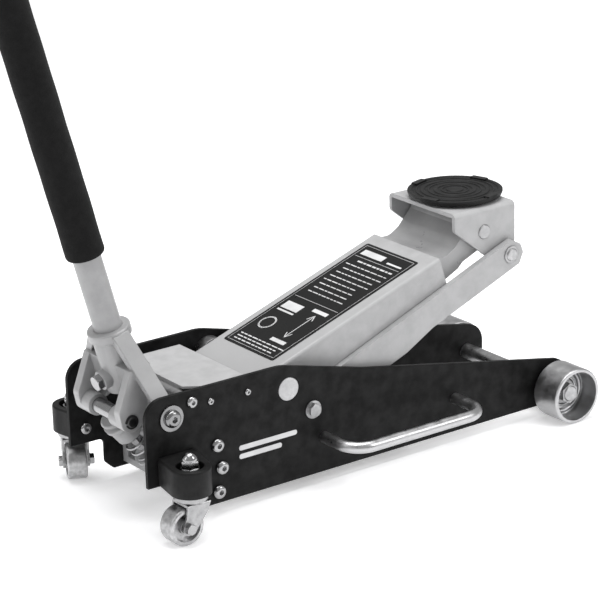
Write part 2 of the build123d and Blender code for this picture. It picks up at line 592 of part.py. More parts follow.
# ------------------------------------------------------------ casters
bracket_top = BRACKET_BOTTOM_Z + BRACKET_HEIGHT
base_half = BRACKET_BASE_WIDTH / 2
bracket_reach = CASTER_Y - PLATE_OUT
bracket_face = make_hull(
    (Pos(CASTER_X, CASTER_Y) * Circle(BRACKET_RADIUS)).edges()
    + (Pos(BRACKET_BASE_X, PLATE_OUT + 4) * Rectangle(BRACKET_BASE_WIDTH, 8)).edges()
)
bracket = Pos(0, 0, BRACKET_BOTTOM_Z) * extrude(bracket_face, BRACKET_HEIGHT)
bracket_rim = [
    e for e in bracket.edges() if abs(e.center().Z - bracket_top) < 0.1 and e.center().Y > PLATE_OUT + 1
]
bracket = fillet(bracket_rim, 2.0)
well_floor = bracket_top - 14.0
bracket -= rod_z(CASTER_X, CASTER_Y, well_floor, bracket_top + 1, 16.0)
bracket -= rod_z(CASTER_X, CASTER_Y, 0, bracket_top, CASTER_STEM_RADIUS + RUN_FIT)
bracket_bolt_out = 9.0
for x, z in BRACKET_BOLTS:
    bracket -= rod_y(x, z, PLATE_OUT - 1, PLATE_OUT + bracket_bolt_out, BRACKET_BOLT_RADIUS)
save("left_caster_bracket", bracket)
save("right_caster_bracket", mirrored(bracket))
inner_bolts = []
for x, z in BRACKET_BOLTS:
    bolt = button_bolt(7.4, 4.6, BRACKET_BOLT_RADIUS, PLATE_THICKNESS + bracket_bolt_out - 0.5, 3.0)
    bolt = Location(Plane(origin=(x, PLATE_IN, z), z_dir=(0, -1, 0))) * bolt
    inner_bolts += both_sides(bolt)

race_top = BRACKET_BOTTOM_Z - SIDE_PLAY
fork_top = CASTER_WHEEL_RADIUS * 2 + 1.5 + CASTER_SHEET
leg_in = CASTER_WHEEL_WIDTH / 2 + 1.0
leg_out = leg_in + CASTER_SHEET
leg_points = [
    (-15.0, fork_top),
    (-15.0 - 2.0, fork_top - 14.0),
    (-CASTER_TRAIL - 9.0, CASTER_AXLE_Z - 2.0),
    (-CASTER_TRAIL - 2.0, CASTER_AXLE_Z - 9.0),
    (-CASTER_TRAIL + 8.0, CASTER_AXLE_Z - 6.0),
    (12.0, fork_top - 11.0),
    (16.0, fork_top),
]
fork = slab(outline(leg_points, {1: 4.0, 2: 4.0, 3: 4.0, 4: 4.0, 5: 8.0}), -leg_out, leg_out)
fork -= box(-60, 60, -leg_in, leg_in, 0, fork_top - CASTER_SHEET)
fork_crown = [e for e in fork.edges() if abs(e.center().Z - fork_top) < 0.05]
fork = fillet([e for e in fork_crown if abs(abs(e.center().Y) - leg_out) < 0.05], 2.0)
fork -= rod_y(-CASTER_TRAIL, CASTER_AXLE_Z, -40, 40, CASTER_AXLE_RADIUS)
nut_base = bracket_top - 2.0
stem_top = nut_base + 12.0
stem = rod_z(0, 0, fork_top, stem_top, CASTER_STEM_RADIUS)
race = rod_z(0, 0, fork_top, race_top, 19.0) - rod_z(0, 0, 0, 100, CASTER_STEM_RADIUS)
race = fillet(race.edges().filter_by(GeomType.CIRCLE).sort_by(SortBy.RADIUS)[-2:], 2.4)
caster_axle = rod_y(-CASTER_TRAIL, CASTER_AXLE_Z, -leg_out - 1.0, leg_out + 1.0, CASTER_AXLE_RADIUS)
axle_head = Location(Plane(origin=(-CASTER_TRAIL, leg_out, CASTER_AXLE_Z), z_dir=(0, 1, 0)))
caster_axle += axle_head * hex_bolt(12.0, 5.0, 2.0, 0.5)
axle_nut_end = Location(Plane(origin=(-CASTER_TRAIL, -leg_out, CASTER_AXLE_Z), z_dir=(0, -1, 0)))
caster_axle += axle_nut_end * hex_bolt(12.0, 5.5, 2.0, 0.5)
tread_half = CASTER_WHEEL_WIDTH / 2
caster_wheel = rod_y(-CASTER_TRAIL, CASTER_AXLE_Z, -tread_half, tread_half, CASTER_WHEEL_RADIUS)
caster_wheel = fillet(caster_wheel.edges().filter_by(GeomType.CIRCLE), 2.5)
for side in (-1, 1):
    dish = rod_y(-CASTER_TRAIL, CASTER_AXLE_Z, side * 9.0 - 4, side * 9.0 + 4, CASTER_WHEEL_RADIUS - 5.0)
    hub_keep = rod_y(-CASTER_TRAIL, CASTER_AXLE_Z, -12, 12, 9.0)
    caster_wheel -= dish - hub_keep
caster_wheel -= rod_y(-CASTER_TRAIL, CASTER_AXLE_Z, -40, 40, CASTER_AXLE_RADIUS + RUN_FIT)
nut_height = 9.0
acorn = Pos(0, 0, nut_base) * hexagon(10.6, nut_height)
acorn += Pos(0, 0, nut_base + nut_height) * (Sphere(8.8) & (Pos(0, 0, 10) * Box(20, 20, 20)))
acorn += rod_z(0, 0, well_floor + SIDE_PLAY, nut_base, 11.0)
acorn -= rod_z(0, 0, 0, stem_top, CASTER_STEM_RADIUS)
for side_name, sign in (("left", 1), ("right", -1)):
    place = Pos(CASTER_X, sign * CASTER_Y, 0) * Rot(0, 0, CASTER_SWIVEL[side_name])
    save(f"{side_name}_caster_fork", place * (fork + stem), place * race)
    save(f"{side_name}_caster_wheel", place * caster_wheel)
    save(f"{side_name}_caster_fasteners", place * acorn, place * caster_axle)

# ------------------------------------------------------------ carry handles
carry_out = PLATE_OUT + CARRY_REACH
carry_path = FilletPolyline(
    (CARRY_X[0], PLATE_OUT, CARRY_Z),
    (CARRY_X[0], carry_out, CARRY_Z),
    (CARRY_X[1], carry_out, CARRY_Z),
    (CARRY_X[1], PLATE_OUT, CARRY_Z),
    radius=CARRY_BEND,
)
carry_start = Plane(origin=carry_path @ 0, z_dir=carry_path % 0)
carry = sweep(carry_start * Circle(CARRY_RADIUS), path=carry_path)
for x in CARRY_X:
    carry -= rod_y(x, CARRY_Z, PLATE_OUT - 1, PLATE_OUT + 14, CARRY_STUD_RADIUS)
    screw = Pos(0, 0, 0) * button_bolt(9.0, 3.4, CARRY_STUD_RADIUS, PLATE_THICKNESS + 14, 2.6)
    screw = Location(Plane(origin=(x, PLATE_IN, CARRY_Z), z_dir=(0, -1, 0))) * screw
    inner_bolts += both_sides(screw)
save("left_carry_handle", carry)
save("right_carry_handle", mirrored(carry))
save("inner_bolts", *inner_bolts)

# ------------------------------------------------------------ power unit
lug_bolt_depth = 18.0
unit = box(UNIT_REAR_X, UNIT_FRONT_X, -PLATE_IN, PLATE_IN, UNIT_BOTTOM_Z, UNIT_LUG_TOP_Z)
unit_pocket = box(UNIT_REAR_X - 1, UNIT_FRONT_X - 9, 50, 71, UNIT_BOTTOM_Z + 8, UNIT_LUG_TOP_Z + 1)
unit -= both_sides(unit_pocket)
unit_tower = Box(UNIT_LENGTH, 2 * UNIT_TOP_HALF_WIDTH, UNIT_TOP_Z - UNIT_LUG_TOP_Z + 1)
unit += Pos(UNIT_REAR_X + UNIT_LENGTH / 2, 0, (UNIT_TOP_Z + UNIT_LUG_TOP_Z - 1) / 2) * unit_tower
unit_front_block = box(
    UNIT_FRONT_X - 1, UNIT_FRONT_X + 14, -PLATE_IN, -PLATE_IN + 20, UNIT_BOTTOM_Z, UNIT_LUG_TOP_Z
)
unit += unit_front_block + mirrored(unit_front_block)
for x, z in LUG_BOLTS:
    for side in (-1, 1):
        far = side * (PLATE_IN + 1)
        near = side * (PLATE_IN - lug_bolt_depth)
        unit -= rod_y(x, z, min(far, near), max(far, near), LUG_BOLT_RADIUS)
pump_axis_end = PUMP_BORE_END + 6.0
pump_flange_end = PUMP_BARREL_START + 5.0
unit -= rod(PUMP_ORIGIN, PUMP_DIR, 20, pump_axis_end, PUMP_BARREL_RADIUS)
unit -= rod(PUMP_ORIGIN, PUMP_DIR, 20, pump_flange_end, PUMP_BARREL_RADIUS + 4)
ram_barrel_rear = UNIT_FRONT_X - 20.0
unit -= rod_x(0, RAM_Z, ram_barrel_rear, 0, RAM_BARREL_RADIUS)
unit -= rod((SOCKET_X, 0, SOCKET_Z), SPINDLE_DIR, 30, SPINDLE_LENGTH + 3, SPINDLE_RADIUS + 0.5)
valve_seat = 42.0
unit -= rod((SOCKET_X, 0, SOCKET_Z), SPINDLE_DIR, 20, valve_seat + 6, 9.0)
save("power_unit_casting", unit)
side_bolts = []
for x, z in LUG_BOLTS:
    bolt = button_bolt(8.6, 6.0, LUG_BOLT_RADIUS, PLATE_THICKNESS + lug_bolt_depth - 1, 3.4)
    side_bolts += both_sides(on_plate(bolt, x, z))

valve_nut = rod((SOCKET_X, 0, SOCKET_Z), SPINDLE_DIR, valve_seat - 9, valve_seat + 6, 9.0)
nut_origin = Vector(SOCKET_X, 0, SOCKET_Z) + SPINDLE_DIR * (valve_seat - 9)
valve_nut += Location(Plane(origin=nut_origin, z_dir=SPINDLE_DIR)) * hexagon(11.0, 6.0)
valve_nut -= rod((SOCKET_X, 0, SOCKET_Z), SPINDLE_DIR, 0, SPINDLE_LENGTH + 4, SPINDLE_RADIUS + RUN_FIT)
nut_flange = rod((SOCKET_X, 0, SOCKET_Z), SPINDLE_DIR, 0, 80, 14.0)
nut_flange -= rod((SOCKET_X, 0, SOCKET_Z), SPINDLE_DIR, 0, 80, 9.0)
valve_nut -= box(UNIT_REAR_X, 0, -20, 20, 0, FAR) & nut_flange
save("release_valve_nut", valve_nut)

tank = rod_x(0, RAM_Z, UNIT_FRONT_X, TANK_FRONT, TANK_RADIUS)
tank -= rod_x(0, RAM_Z, UNIT_FRONT_X + 0.0, TANK_FRONT - 4, TANK_RADIUS - 3.0)
tank -= rod_x(0, RAM_Z, -200, 0, RAM_BARREL_RADIUS)
save("reservoir_tank", tank)
ram_barrel = rod_x(0, RAM_Z, ram_barrel_rear, RAM_BARREL_FRONT, RAM_BARREL_RADIUS)
gland_back = RAM_BARREL_FRONT - RAM_GLAND
ram_barrel -= rod_x(0, RAM_Z, ram_barrel_rear, RAM_BARREL_FRONT + 1, RAM_BORE_RADIUS)
gland = rod_x(0, RAM_Z, gland_back, RAM_BARREL_FRONT, RAM_BORE_RADIUS)
gland -= rod_x(0, RAM_Z, -200, 0, RAM_ROD_RADIUS + RUN_FIT)
save("ram_barrel", ram_barrel, gland)
filler = Location(Plane(origin=(UNIT_FRONT_X - 12, 24, UNIT_TOP_Z))) * hexagon(7.0, 5.0)
overload = Location(Plane(origin=(UNIT_REAR_X, 26, 112), z_dir=(-1, 0, 0))) * hexagon(7.0, 5.0)
save("unit_plugs", filler, overload)

pump_barrel = rod(PUMP_ORIGIN, PUMP_DIR, PUMP_BARREL_START, pump_axis_end, PUMP_BARREL_RADIUS)
pump_barrel += rod(PUMP_ORIGIN, PUMP_DIR, PUMP_BARREL_START, pump_flange_end, PUMP_BARREL_RADIUS + 4)
pump_barrel -= rod(PUMP_ORIGIN, PUMP_DIR, 0, PUMP_BORE_END, PLUNGER_RADIUS + RUN_FIT)
pump_barrel &= box(-400, UNIT_FRONT_X - 2.0, -60, 60, 0, 300)
save("pump_barrel", pump_barrel)

spring_low = PUMP_BARREL_START - PUMP_SPRING_WIRE / 2
spring_top = CAP_TOP + CAP_LENGTH + PUMP_SPRING_WIRE / 2
spring_place = Location(Plane(origin=PUMP_ORIGIN + PUMP_DIR * spring_top, z_dir=PUMP_DIR))
spring_height = spring_low - spring_top - 0.4
spring_path = Helix(spring_height / PUMP_SPRING_TURNS, spring_height, PUMP_SPRING_RADIUS)
spring_start = Plane(origin=spring_path @ 0, z_dir=spring_path % 0)
spring = sweep(spring_start * Circle(PUMP_SPRING_WIRE / 2), path=spring_path, is_frenet=True)
save("pump_spring", spring_place * Pos(0, 0, 0.2) * spring)

# ------------------------------------------------------------ unit cover
cover_points = [
    (COVER_X[0], -COVER_HALF_WIDTH + 14),
    (COVER_X[0] + 20, -COVER_HALF_WIDTH),
    (COVER_X[1], -COVER_HALF_WIDTH),
    (COVER_X[1], COVER_HALF_WIDTH),
    (COVER_X[0] + 20, COVER_HALF_WIDTH),
    (COVER_X[0], COVER_HALF_WIDTH - 14),
]
cover = Pos(0, 0, COVER_Z - COVER_SHEET) * extrude(outline(cover_points), COVER_SHEET)
flange = box(COVER_X[0] + 9, COVER_X[1], COVER_HALF_WIDTH - COVER_SHEET, COVER_HALF_WIDTH,
             COVER_Z - COVER_FLANGE, COVER_Z - COVER_SHEET)
cover += flange + mirrored(flange)
cover += box(COVER_X[0], COVER_X[0] + COVER_SHEET, -COVER_HALF_WIDTH + 20, COVER_HALF_WIDTH - 20,
             COVER_Z - 8, COVER_Z - COVER_SHEET)
for x, z in COVER_SCREWS:
    hole = rod_y(x, z, -FAR, FAR, COVER_SCREW_RADIUS + BOLT_PLAY)
    cover -= hole
    boss = rod_y(x, z, COVER_HALF_WIDTH, PLATE_IN, 6.0) - hole
    chassis_spacers += both_sides(boss)
    screw = button_bolt(4.2, 2.6, COVER_SCREW_RADIUS, PLATE_OUT - COVER_HALF_WIDTH + COVER_SHEET + 2, 1.7)
    small_screws += both_sides(on_plate(screw, x, z))
save("unit_cover", cover)
save("chassis_spacers", *chassis_spacers)
save("small_screws", *small_screws)
rear_tie = rod_y(*REAR_TIE, -PLATE_IN, PLATE_IN, 6.5)
for side in (-1, 1):
    near = side * (PLATE_IN - 16)
    far = side * (PLATE_IN + 1)
    rear_tie -= rod_y(*REAR_TIE, min(near, far), max(near, far), TIE_BOLT_RADIUS)
save("cross_members", front_bar, base_tie, rear_tie)
tie_bolt = on_plate(button_bolt(7.0, 4.6, TIE_BOLT_RADIUS, PLATE_THICKNESS + 15, 2.8), *REAR_TIE)
save("side_bolts", *side_bolts, *both_sides(tie_bolt))

# ------------------------------------------------------------ socket pivot
pivot_washer = on_plate(washer(15.4, SOCKET_PIN_RADIUS, 2.0), SOCKET_X, SOCKET_Z)
pivot_screw = rod_y(SOCKET_X, SOCKET_Z, 60, PLATE_OUT + 2.0, SOCKET_PIN_RADIUS)
pivot_screw += on_plate(button_bolt(10.4, 6.0, 3.0, 1.0, 4.0), SOCKET_X, SOCKET_Z, 2.0)
save("socket_pivot_bolts", *both_sides(pivot_washer), *both_sides(pivot_screw))

# ------------------------------------------------------------ handle socket (Z along the handle)
leg_web = 4.0
leg_points = [
    (BARREL_RADIUS - 6, 72.0),
    (BARREL_RADIUS + 4, COLLAR_END - 8),
    (SOCKET_HALF_WIDTH - 1, 16.0),
    (SOCKET_HALF_WIDTH, 6.0),
    (SOCKET_HALF_WIDTH, -9.0),
    (58.0, -12.0),
    (54.0, 4.0),
    (34.0, 8.0),
    (BARREL_RADIUS - 6, 26.0),
]


def standing(face, x0, x1):
    """Stand an outline given as (Y, Z) up between two X positions."""
    place = Location(Plane(origin=(x0, 0, 0), x_dir=(0, 1, 0), z_dir=(1, 0, 0)))
    return place * extrude(face, x1 - x0)


leg = standing(outline(leg_points, {4: 6.0, 5: 6.0}), -leg_web, leg_web)
rib_run = Vector(0, SOCKET_HALF_WIDTH - 1 - BARREL_RADIUS - 4, 16.0 - COLLAR_END + 8)
rib_points = [
    (BARREL_RADIUS - 2, COLLAR_END - 3),
    (BARREL_RADIUS + 4, COLLAR_END - 3),
    (SOCKET_HALF_WIDTH, 17.0),
    (SOCKET_HALF_WIDTH, 4.0),
    (SOCKET_HALF_WIDTH - 5.5, 4.0),
    (SOCKET_HALF_WIDTH - 5.5, 14.0),
    (BARREL_RADIUS - 2, COLLAR_END - 14),
]
leg += standing(outline(rib_points), -SOCKET_LEG_DEPTH, SOCKET_LEG_DEPTH)
leg += rod_y(0, 0, 58, SOCKET_HALF_WIDTH, SOCKET_BOSS_RADIUS)
cheek_out = CHEEK_INNER_Y + CHEEK_WIDTH
cheek_in = cheek_out - CHEEK_THICKNESS
cheek_points = [
    (-PUMP_ARM, -CHEEK_RADIUS),
    (-PUMP_ARM + 10, -CHEEK_RADIUS + 1.5),
    (6.0, 12.0),
    (12.0, 24.0),
    (12.0, 56.0),
    (-14.0, 56.0),
    (-PUMP_ARM - CHEEK_RADIUS + 1, 16.0),
    (-PUMP_ARM - CHEEK_RADIUS, 0.0),
]
cheek = slab(outline(cheek_points, {1: 8.0, 6: 10.0}), cheek_in, cheek_out)
cheek += rod_y(-PUMP_ARM, 0, CHEEK_INNER_Y, cheek_out, CHEEK_RADIUS)
cheek += box(-14, 12, 15, cheek_out, 30, 56)
half = leg + cheek
socket = half + mirrored(half)
socket += Pos(0, 0, (BARREL_START + COLLAR_END) / 2) * Cylinder(BARREL_RADIUS, COLLAR_END - BARREL_START)
collar = Pos(0, 0, COLLAR_END - COLLAR_HEIGHT / 2) * Cylinder(COLLAR_RADIUS, COLLAR_HEIGHT)
collar = fillet(collar.edges().filter_by(GeomType.CIRCLE), 2.0)
socket += collar
clamp_t = 37.7
clamp_face = BARREL_RADIUS + CLAMP_BOSS_LENGTH
socket += rod((0, 0, clamp_t), (-1, 0, 0), 10, clamp_face, 11.5)
tube_bore = Pos(0, 0, BARREL_START + 100) * Cylinder(HANDLE_RADIUS + RUN_FIT, 220)
socket -= tube_bore
socket -= rod((0, 0, clamp_t), (-1, 0, 0), 0, 60, 5.0)
for side in (-1, 1):
    socket -= rod_y(0, 0, min(side * 50, side * 90), max(side * 50, side * 90), SOCKET_PIN_RADIUS + RUN_FIT)
socket -= rod_y(-PUMP_ARM, 0, -FAR, FAR, PUMP_ROLLER_PIN)
save("handle_socket", SOCKET_PLACE * socket)
clamp = Location(Plane(origin=(-clamp_face, 0, clamp_t), z_dir=(-1, 0, 0)))
clamp_bolt = clamp * hex_bolt(17.0, 8.0, 5.0, clamp_face - HANDLE_RADIUS - SIDE_PLAY)
save("socket_clamp_bolt", SOCKET_PLACE * clamp_bolt)
pin_half = cheek_out + 3.0
roller_pin = rod_y(-PUMP_ARM, 0, -pin_half, pin_half, PUMP_ROLLER_PIN)
roller_pin = chamfer(roller_pin.edges().filter_by(GeomType.CIRCLE), 0.8)
circlip = rod_y(-PUMP_ARM, 0, cheek_out, cheek_out + 1.4, PUMP_ROLLER_PIN + 2.4)
circlip -= rod_y(-PUMP_ARM, 0, 0, FAR, PUMP_ROLLER_PIN)
circlip -= box(-PUMP_ARM - 20, -PUMP_ARM - 3, 0, FAR, -1.6, 1.6)
save("pump_roller_pin", SOCKET_PLACE * roller_pin, *[SOCKET_PLACE * piece for piece in both_sides(circlip)])
roller_half = CHEEK_INNER_Y - SIDE_PLAY
pump_roller = rod_y(-PUMP_ARM, 0, -roller_half, roller_half, PUMP_ROLLER_RADIUS)
pump_roller = chamfer(pump_roller.edges().filter_by(GeomType.CIRCLE), 0.8)
pump_roller -= rod_y(-PUMP_ARM, 0, -FAR, FAR, PUMP_ROLLER_PIN + RUN_FIT)
save("pump_roller", SOCKET_PLACE * pump_roller)

# ------------------------------------------------------------ handle (Z along the handle)
fork_plug = 7.0


def tube(start, end, outer, inner):
    length = end - start
    return Pos(0, 0, (start + end) / 2) * (Cylinder(outer, length) - Cylinder(inner, length))


lower_tube = tube(BARREL_START + fork_plug, HANDLE_LOWER_END, HANDLE_RADIUS, HANDLE_RADIUS - HANDLE_WALL)
button_t = HANDLE_LOWER_END - 22.0
lower_tube -= rod((0, 0, button_t), (-1, 0, 0), 0, 40, 4.2)
upper_start = HANDLE_LOWER_END - 60.0
upper_tube = tube(upper_start, HANDLE_LENGTH - 3.0, UPPER_RADIUS, UPPER_RADIUS - HANDLE_WALL)
upper_tube -= rod((0, 0, button_t), (-1, 0, 0), 0, 40, 4.2)
lock_button = rod((0, 0, button_t), (-1, 0, 0), 6.0, HANDLE_RADIUS + 2.2, 4.0)
lock_button = fillet(lock_button.edges().sort_by(Axis.X)[0], 1.6)
foam = tube(FOAM_START, FOAM_END, FOAM_RADIUS, HANDLE_RADIUS)
foam = fillet(foam.edges().filter_by(GeomType.CIRCLE).sort_by(SortBy.RADIUS)[-2:], 3.0)
grip_radius = UPPER_RADIUS + GRIP_WALL
grip = Pos(0, 0, HANDLE_LENGTH - GRIP_LENGTH / 2) * Cylinder(grip_radius, GRIP_LENGTH)
grip = fillet(grip.edges().filter_by(GeomType.CIRCLE).sort_by(Axis.Z)[-1], 3.0)
grip -= Pos(0, 0, HANDLE_LENGTH - 3.0 - 250) * Cylinder(UPPER_RADIUS, 500)
release_fork = Pos(0, 0, BARREL_START + fork_plug / 2) * Cylinder(HANDLE_RADIUS - 0.2, fork_plug)
tines = Pos(0, 0, BARREL_START / 2 + 0.5) * (
    Cylinder(FORK_OUTER, BARREL_START + 1) - Cylinder(FORK_INNER, BARREL_START + 1)
)
tines &= Box(10, 60, 200)
release_fork += tines
for name, piece in (
    ("handle_lower_tube", lower_tube),
    ("handle_upper_tube", upper_tube),
    ("handle_lock_button", lock_button),
    ("foam_grip", foam),
    ("handle_end_grip", grip),
    ("release_fork", release_fork),
):
    save(name, SOCKET_PLACE * piece)

spindle = rod((SOCKET_X, 0, SOCKET_Z), SPINDLE_DIR, 0, SPINDLE_LENGTH, SPINDLE_RADIUS)
spindle += Pos(SOCKET_X, 0, SOCKET_Z) * Sphere(SPINDLE_BALL)
save("release_spindle", spindle)

# ------------------------------------------------------------ pump plunger and cap
plunger_end = PUMP_BORE_END - PUMP_STROKE - 2.0
plunger = rod(PUMP_ORIGIN, PUMP_DIR, CAP_TOP + 6.0, plunger_end, PLUNGER_RADIUS)
save("pump_plunger", plunger)
cap_profile = make_face(Polyline(
    (0, 1.4),
    (CAP_RADIUS - 5, 0.8),
    (CAP_RADIUS - 2, 0),
    (CAP_RADIUS, 1.6),
    (CAP_RADIUS - 1.0, 5.0),
    (CAP_RADIUS - 3.5, 6.5),
    (CAP_RADIUS - 3.5, 8.0),
    (CAP_RADIUS + 1.5, 9.5),
    (CAP_RADIUS + 1.5, 14.0),
    (CAP_RADIUS - 0.5, 17.0),
    (CAP_RADIUS - 0.5, CAP_LENGTH - 2.0),
    (CAP_RADIUS - 2.5, CAP_LENGTH),
    (PLUNGER_RADIUS, CAP_LENGTH),
    (PLUNGER_RADIUS, 6.0),
    (0, 6.0),
    close=True,
))
cap_place = Location(Plane(origin=PUMP_ORIGIN + PUMP_DIR * CAP_TOP, z_dir=PUMP_DIR))
save("pump_cap", cap_place * revolve(Plane.XZ * cap_profile, Axis.Z))

# ------------------------------------------------------------ ram rod and crosshead
slot_half = CRANK_PIN_RADIUS + 1.0
prong_wall = 4.5
head_half = slot_half + prong_wall
head_low = CRANK_Z - CRANK_PIN_RADIUS - 8.0
head_high = MAIN_SHAFT_Z - 24.5
head_width = EAR_INNER_Y - 1
crosshead = box(CRANK_X - head_half, CRANK_X + head_half, -head_width, head_width, head_low, head_high)
crosshead -= box(CRANK_X - slot_half, CRANK_X + slot_half, -20, 20, head_low + 5.0, head_high + 1)
rod_back = CRANK_X - PISTON_BACK
ram_rod = rod_x(0, RAM_Z, rod_back + PISTON_LENGTH, CRANK_X - head_half, RAM_ROD_RADIUS)
piston = rod_x(0, RAM_Z, rod_back, rod_back + PISTON_LENGTH, RAM_BORE_RADIUS - RUN_FIT)
save("ram_crosshead", crosshead)
save("ram_rod", ram_rod + piston)
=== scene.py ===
import json
import math
import random

import bmesh
import bpy
from mathutils import Matrix, Vector


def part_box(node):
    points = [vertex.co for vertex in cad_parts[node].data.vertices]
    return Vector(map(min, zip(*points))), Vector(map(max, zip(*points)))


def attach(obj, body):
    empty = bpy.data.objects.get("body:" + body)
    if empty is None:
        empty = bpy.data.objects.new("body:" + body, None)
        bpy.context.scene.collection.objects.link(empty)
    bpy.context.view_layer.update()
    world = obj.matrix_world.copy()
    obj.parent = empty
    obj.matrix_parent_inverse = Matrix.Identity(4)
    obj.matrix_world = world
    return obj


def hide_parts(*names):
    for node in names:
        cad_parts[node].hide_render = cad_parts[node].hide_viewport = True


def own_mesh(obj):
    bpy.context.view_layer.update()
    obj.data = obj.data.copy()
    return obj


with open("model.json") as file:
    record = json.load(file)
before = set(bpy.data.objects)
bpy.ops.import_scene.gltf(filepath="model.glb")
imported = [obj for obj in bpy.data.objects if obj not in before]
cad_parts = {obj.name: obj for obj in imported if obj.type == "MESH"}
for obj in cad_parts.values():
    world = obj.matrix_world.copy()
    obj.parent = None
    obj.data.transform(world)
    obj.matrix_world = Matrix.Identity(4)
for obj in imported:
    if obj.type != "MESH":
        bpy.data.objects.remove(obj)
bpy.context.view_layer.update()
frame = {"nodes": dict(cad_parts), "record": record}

nodes = frame["nodes"]
scene = bpy.context.scene
scene.view_settings.view_transform = "Standard"


# ------------------------------------------------------------------ camera
CAMERA_PLACE = (-1.66452, -2.44943, 1.23002)
CAMERA_YAW, CAMERA_PITCH, CAMERA_ROLL = 35.47, -18.95, -1.56
CAMERA_LENS = 160.4
CAMERA_SENSOR = 36
CAMERA_REACH = 30


def place_camera():
    """A long lens, above and behind the jack's right rear corner."""
    yaw, pitch, roll = (math.radians(a) for a in (CAMERA_YAW, CAMERA_PITCH, CAMERA_ROLL))
    forward = Vector(
        (math.sin(yaw) * math.cos(pitch), math.cos(yaw) * math.cos(pitch), math.sin(pitch))
    )
    right = Vector((math.cos(yaw), -math.sin(yaw), 0))
    up = right.cross(forward)
    right_rolled = right * math.cos(roll) + up * math.sin(roll)
    up_rolled = up * math.cos(roll) - right * math.sin(roll)
    turn = Matrix((right_rolled, up_rolled, -forward)).transposed().to_4x4()
    data = bpy.data.cameras.new("camera")
    data.lens = CAMERA_LENS
    data.sensor_width = CAMERA_SENSOR
    data.clip_end = CAMERA_REACH
    camera = bpy.data.objects.new("camera", data)
    camera.matrix_world = Matrix.Translation(CAMERA_PLACE) @ turn
    scene.collection.objects.link(camera)
    scene.camera = camera


place_camera()


# ------------------------------------------------------------------ materials
class Shader:
    """A small helper that wires one principled material."""

    def __init__(self, name):
        self.material = bpy.data.materials.new(name)
        self.material.use_nodes = True
        self.tree = self.material.node_tree
        self.bsdf = self.tree.nodes["Principled BSDF"]
        self.coords = self.add("ShaderNodeTexCoord").outputs["Object"]

    def add(self, kind, **values):
        node = self.tree.nodes.new(kind)
        for key, value in values.items():
            if hasattr(node, key):
                setattr(node, key, value)
            else:
                node.inputs[key].default_value = value
        return node

    def link(self, source, target):
        self.tree.links.new(source, target)

    def set(self, **values):
        """Constants for the shader's own sockets; an underscore stands for a space."""
        for key, value in values.items():
            self.bsdf.inputs[key.replace("_", " ")].default_value = value

    def noise(self, scale, detail=4.0, stretch=(1, 1, 1), rough=0.55):
        """Noise fixed to the piece, scale in cells per metre."""
        mapping = self.add("ShaderNodeMapping")
        mapping.inputs["Scale"].default_value = stretch
        self.link(self.coords, mapping.inputs["Vector"])
        texture = self.add("ShaderNodeTexNoise")
        texture.inputs["Scale"].default_value = scale
        texture.inputs["Detail"].default_value = detail
        texture.inputs["Roughness"].default_value = rough
        self.link(mapping.outputs["Vector"], texture.inputs["Vector"])
        return texture.outputs["Fac"]

    def ramp(self, source, low, high, start=0.3, end=0.7):
        """The source's span from start to end, stretched to run from low to high."""
        node = self.add("ShaderNodeMapRange")
        node.inputs["From Min"].default_value = start
        node.inputs["From Max"].default_value = end
        node.inputs["To Min"].default_value = low
        node.inputs["To Max"].default_value = high
        self.link(source, node.inputs["Value"])
        return node.outputs["Result"]

    def blend(self, factor, first, second):
        """A colour from first, a colour or a socket, at factor 0 to second, a colour, at 1."""
        node = self.add("ShaderNodeMix", data_type="RGBA")
        node.inputs["B"].default_value = (*second, 1)
        if hasattr(first, "node"):
            self.link(first, node.inputs["A"])
        else:
            node.inputs["A"].default_value = (*first, 1)
        self.link(factor, node.inputs["Factor"])
        return node.outputs["Result"]

    def edges(self, low=0.53, high=0.60):
        """Bright on convex edges, where paint wears and dust is rubbed off."""
        point = self.add("ShaderNodeNewGeometry").outputs["Pointiness"]
        return self.ramp(point, 0.0, 1.0, low, high)

    def bump(self, source, strength, distance, round_edges):
        """Relief from the source, over edges rounded to a radius of round_edges."""
        node = self.add("ShaderNodeBump")
        node.inputs["Strength"].default_value = strength
        node.inputs["Distance"].default_value = distance
        self.link(source, node.inputs["Height"])
        if round_edges:
            bevel = self.add("ShaderNodeBevel")
            bevel.samples = 4
            bevel.inputs["Radius"].default_value = round_edges
            self.link(bevel.outputs["Normal"], node.inputs["Normal"])
        self.link(node.outputs["Normal"], self.bsdf.inputs["Normal"])


def grey(value):
    """A grey a hair towards blue."""
    return (value, value, value * 1.01)


def paint(name, base, rough, contrast, wear, grain, strength, round_edges=0.0010, shine=0.5):
    """Sprayed paint: slow shade drift, orange-peel grain and lighter edges."""
    s = Shader(name)
    s.set(Roughness=rough, Specular_IOR_Level=shine)
    drift = s.ramp(s.noise(7, 3), 0, 1, 0.35, 0.65)
    shade = s.blend(drift, grey(base * (1 - contrast)), grey(base * (1 + contrast)))
    speck = s.ramp(s.noise(260, 5), 0, 0.25, 0.55, 0.75)
    shade = s.blend(speck, shade, grey(base * (1 + contrast * 1.2)))
    worn = s.add("ShaderNodeMath", operation="MULTIPLY")
    s.link(s.edges(), worn.inputs[0])
    s.link(s.ramp(s.noise(60, 4), 0.1, 0.7, 0.35, 0.65), worn.inputs[1])
    shade = s.blend(worn.outputs[0], shade, grey(min(base * wear + 0.01, 0.9)))
    s.link(shade, s.bsdf.inputs["Base Color"])
    s.link(s.ramp(s.noise(35, 4), rough * 0.94, rough * 1.08), s.bsdf.inputs["Roughness"])
    s.bump(s.noise(grain, 3), strength, 0.0004, round_edges)
    return s.material


